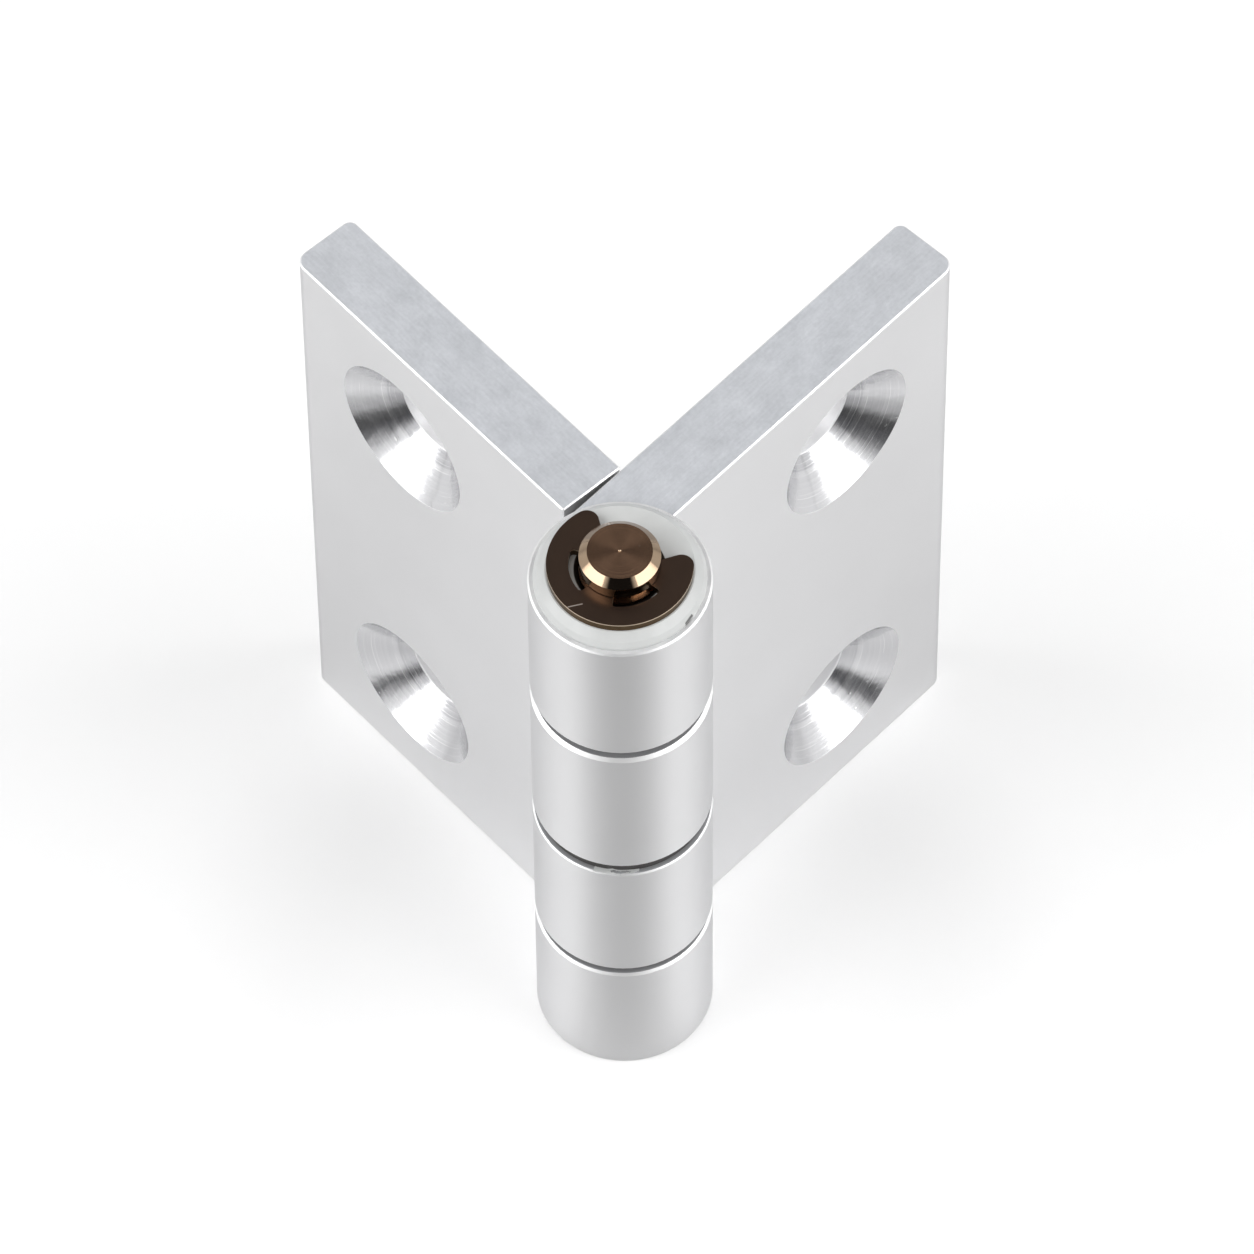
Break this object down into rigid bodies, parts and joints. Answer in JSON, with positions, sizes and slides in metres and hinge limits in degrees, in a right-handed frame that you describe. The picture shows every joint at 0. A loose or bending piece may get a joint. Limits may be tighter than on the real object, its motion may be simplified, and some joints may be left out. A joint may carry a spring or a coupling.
{
  "type": "hinge",
  "caption": "Butt hinge with thick countersunk leaves, interleaved knuckles on flanged plastic bushes, and a headed pin held by a retaining clip.",
  "frame": {"origin": "on the pin's axis at the foot of the barrel, in the middle of the pin head's end face", "axes": "+Z along the pin from its head to the retaining clip, +X along the right leaf from the pin to the leaf's far edge, +Y out of the right leaf's back face, which is its mounting face"},
  "size_m": [0.059, 0.0586, 0.0806],
  "materials": {
    "anodised_aluminium": "satin natural anodised, with milled ends",
    "pin_steel": "turned, brown oxide",
    "clip_steel": "spring steel, dark brown oxide",
    "bush_plastic": "natural moulded plastic, milky"
  },
  "bodies": {
    "right_leaf": {"right_leaf": "anodised_aluminium", "first_knuckle_bush": "bush_plastic", "middle_thrust_washer": "bush_plastic", "third_knuckle_bush": "bush_plastic"},
    "left_leaf": {"left_leaf": "anodised_aluminium", "second_knuckle_bush": "bush_plastic", "fourth_knuckle_bush": "bush_plastic"},
    "pin": {"hinge_pin": "pin_steel", "retaining_clip": "clip_steel"}
  },
  "joints": [
    {"name": "leaf_hinge", "type": "hinge", "parent": "right_leaf", "child": "left_leaf", "pos_m": [0, 0, 0.0375], "axis": [0, 0, 1], "range_deg": [0, 275]},
    {"name": "pin_turn", "type": "hinge", "parent": "left_leaf", "child": "pin", "pos_m": [0, 0, 0.0375], "axis": [0, 0, 1], "continuous": true}
  ]
}
